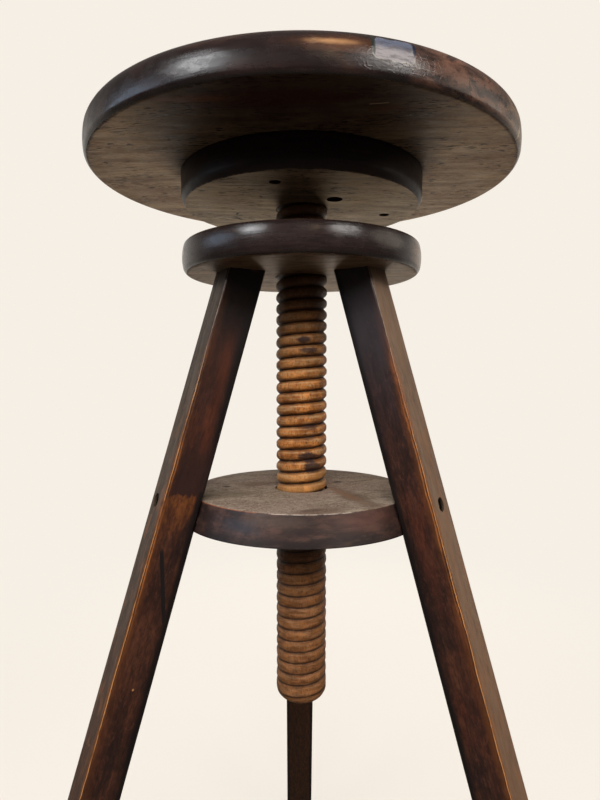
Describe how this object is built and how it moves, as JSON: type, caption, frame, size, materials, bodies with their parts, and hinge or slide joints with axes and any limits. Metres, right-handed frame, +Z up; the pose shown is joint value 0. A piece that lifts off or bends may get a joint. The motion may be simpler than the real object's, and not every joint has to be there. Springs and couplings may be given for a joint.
{
  "type": "revolving stool",
  "caption": "Round wooden seat on a large wooden screw that turns up and down through a hub and a guide disc held by splayed square legs.",
  "frame": {"origin": "on the floor, midway between the front of the seat and the back foot, which is the centre of the part's box; the screw's axis stands at x = 0, y = -0.0470 m", "axes": "+Z up along the screw, +Y towards the back, where the back leg stands 3.5 degrees to the left, +X to the right of someone facing the stool from the front"},
  "size_m": [0.4372, 0.3972, 0.7094],
  "materials": {
    "seat_wood": "old varnish, worn, semi-gloss on the edge and dull grey-brown underneath",
    "disc_wood": "dark varnished edge, bare greyed underside",
    "hub_wood": "dark varnished edge, bare greyed underside",
    "guide_wood": "worn purple-brown varnish on the side, dusty bare top",
    "leg_wood": "old dark red-brown varnish, worn to bare wood along the edges",
    "screw_wood": "bare wood, polished by wear, darker near the hub",
    "pale_wood": "bare wood",
    "iron": "dark rusted iron"
  },
  "bodies": {
    "frame": {"hub": "hub_wood", "guide_disc": "guide_wood", "leg_back": "leg_wood", "leg_left": "leg_wood", "leg_right": "leg_wood", "tenon_wedge_back": "pale_wood", "tenon_wedge_left": "pale_wood", "tenon_wedge_right": "pale_wood", "leg_screw_back": "iron", "leg_screw_left": "iron", "leg_screw_right": "iron"},
    "screw_core": {"centre_dowel": "pale_wood"},
    "seat": {"seat": "seat_wood", "seat_disc": "disc_wood", "screw_post": "screw_wood", "disc_screw_front": "iron", "disc_screw_right": "iron", "disc_screw_back": "iron", "disc_screw_large": "iron"}
  },
  "joints": [
    {"name": "seat_lift", "type": "slide", "parent": "frame", "child": "screw_core", "axis": [0, 0, 1], "range_m": [-0.0286, 0.1202]},
    {"name": "seat_turn", "type": "hinge", "parent": "screw_core", "child": "seat", "pos_m": [0, -0.04704, 0.635], "axis": [0, 0, 1], "range_deg": [-1215, 5140]}
  ],
  "couplings": [
    {"joint": "seat_lift", "follows": "seat_turn", "m_per_rad": 0.0013369}
  ]
}
